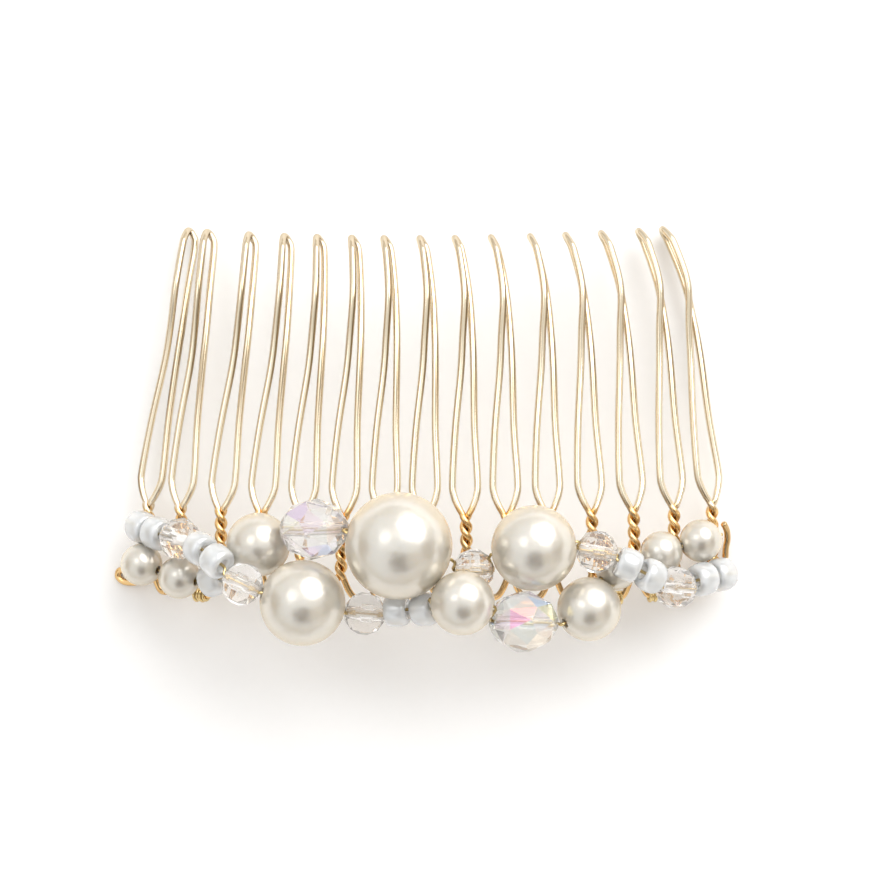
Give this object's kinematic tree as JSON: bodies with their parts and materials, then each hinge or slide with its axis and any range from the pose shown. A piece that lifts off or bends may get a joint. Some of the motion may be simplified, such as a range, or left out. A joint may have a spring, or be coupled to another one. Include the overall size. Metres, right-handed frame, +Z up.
{
  "type": "decorative hair comb",
  "caption": "Curved twisted-wire hair comb with hairpin teeth and two strings of pearls, faceted crystals and seed beads bound along its spine.",
  "frame": {"origin": "middle of the comb's footprint, on the surface it lies on: it rests on its end arches and on the tips of its end teeth", "axes": "+X along the spine, to the viewer's right with the beads towards the viewer; +Y towards the tooth tips; +Z up, the bulging bead side"},
  "size_m": [0.0592, 0.0406, 0.0201],
  "materials": {
    "comb_wire": "pale gold plated steel wire, polished",
    "binding_wire": "gold coloured copper wire, polished",
    "pearl": "cream imitation pearl, satin gloss lacquer",
    "seed_glass": "white opal glass, glossy",
    "clear_crystal": "clear faceted glass",
    "aurora_crystal": "clear faceted glass with an iridescent coat"
  },
  "bodies": {
    "comb": {"crystal_4mm_01": "clear_crystal", "crystal_4mm_02": "clear_crystal", "crystal_4mm_03": "clear_crystal", "crystal_4mm_04": "clear_crystal", "crystal_4mm_05": "clear_crystal", "crystal_4mm_06": "clear_crystal", "lashing_01": "binding_wire", "lashing_02": "binding_wire", "lashing_03": "binding_wire", "lashing_04": "binding_wire", "lashing_05": "binding_wire", "pearl_4mm_01": "pearl", "pearl_4mm_02": "pearl", "pearl_4mm_03": "pearl", "pearl_4mm_04": "pearl", "pearl_4mm_05": "pearl", "seed_01": "seed_glass", "seed_02": "seed_glass", "seed_03": "seed_glass", "seed_04": "seed_glass", "seed_05": "seed_glass", "seed_06": "seed_glass", "seed_07": "seed_glass", "seed_08": "seed_glass", "seed_09": "seed_glass", "seed_10": "seed_glass", "seed_11": "seed_glass", "string_wire_01": "binding_wire", "string_wire_02": "binding_wire", "tooth_01": "comb_wire", "tooth_02": "comb_wire", "tooth_03": "comb_wire", "tooth_04": "comb_wire", "tooth_05": "comb_wire", "tooth_06": "comb_wire", "tooth_07": "comb_wire", "tooth_08": "comb_wire", "tooth_09": "comb_wire", "tooth_10": "comb_wire", "tooth_11": "comb_wire", "tooth_12": "comb_wire", "tooth_13": "comb_wire", "tooth_14": "comb_wire", "tooth_15": "comb_wire"},
    "pearl_10mm_01_body": {"pearl_10mm_01": "pearl"},
    "pearl_8mm_01_body": {"pearl_8mm_01": "pearl"},
    "pearl_8mm_02_body": {"pearl_8mm_02": "pearl"},
    "pearl_6mm_01_body": {"pearl_6mm_01": "pearl"},
    "pearl_6mm_02_body": {"pearl_6mm_02": "pearl"},
    "pearl_6mm_03_body": {"pearl_6mm_03": "pearl"},
    "aurora_crystal_01_body": {"aurora_crystal_01": "aurora_crystal"},
    "aurora_crystal_02_body": {"aurora_crystal_02": "aurora_crystal"}
  },
  "joints": [
    {"name": "pearl_10mm_01_turn", "type": "hinge", "parent": "comb", "child": "pearl_10mm_01_body", "pos_m": [-0.00135, -0.01034, 0.01523], "axis": [0.9603, -0.2487, -0.1266], "continuous": true},
    {"name": "pearl_8mm_01_turn", "type": "hinge", "parent": "comb", "child": "pearl_8mm_01_body", "pos_m": [-0.01042, -0.0156, 0.01403], "axis": [0.9448, -0.2308, -0.2326], "continuous": true},
    {"name": "pearl_8mm_02_turn", "type": "hinge", "parent": "comb", "child": "pearl_8mm_02_body", "pos_m": [0.01108, -0.01052, 0.01292], "axis": [0.9876, 0.1487, -0.0506], "continuous": true},
    {"name": "pearl_6mm_01_turn", "type": "hinge", "parent": "comb", "child": "pearl_6mm_01_body", "pos_m": [0.00463, -0.01565, 0.01577], "axis": [0.9918, -0.1265, 0.0196], "continuous": true},
    {"name": "pearl_6mm_02_turn", "type": "hinge", "parent": "comb", "child": "pearl_6mm_02_body", "pos_m": [0.01607, -0.01614, 0.01037], "axis": [0.76, 0.458, -0.4612], "continuous": true},
    {"name": "pearl_6mm_03_turn", "type": "hinge", "parent": "comb", "child": "pearl_6mm_03_body", "pos_m": [-0.01487, -0.01011, 0.01102], "axis": [0.8256, 0.3814, 0.4159], "continuous": true},
    {"name": "aurora_crystal_01_turn", "type": "hinge", "parent": "comb", "child": "aurora_crystal_01_body", "pos_m": [0.01011, -0.01737, 0.01305], "axis": [0.9035, -0.0382, -0.4268], "continuous": true},
    {"name": "aurora_crystal_02_turn", "type": "hinge", "parent": "comb", "child": "aurora_crystal_02_body", "pos_m": [-0.00937, -0.00875, 0.01391], "axis": [0.9547, -0.0164, 0.2971], "continuous": true}
  ]
}
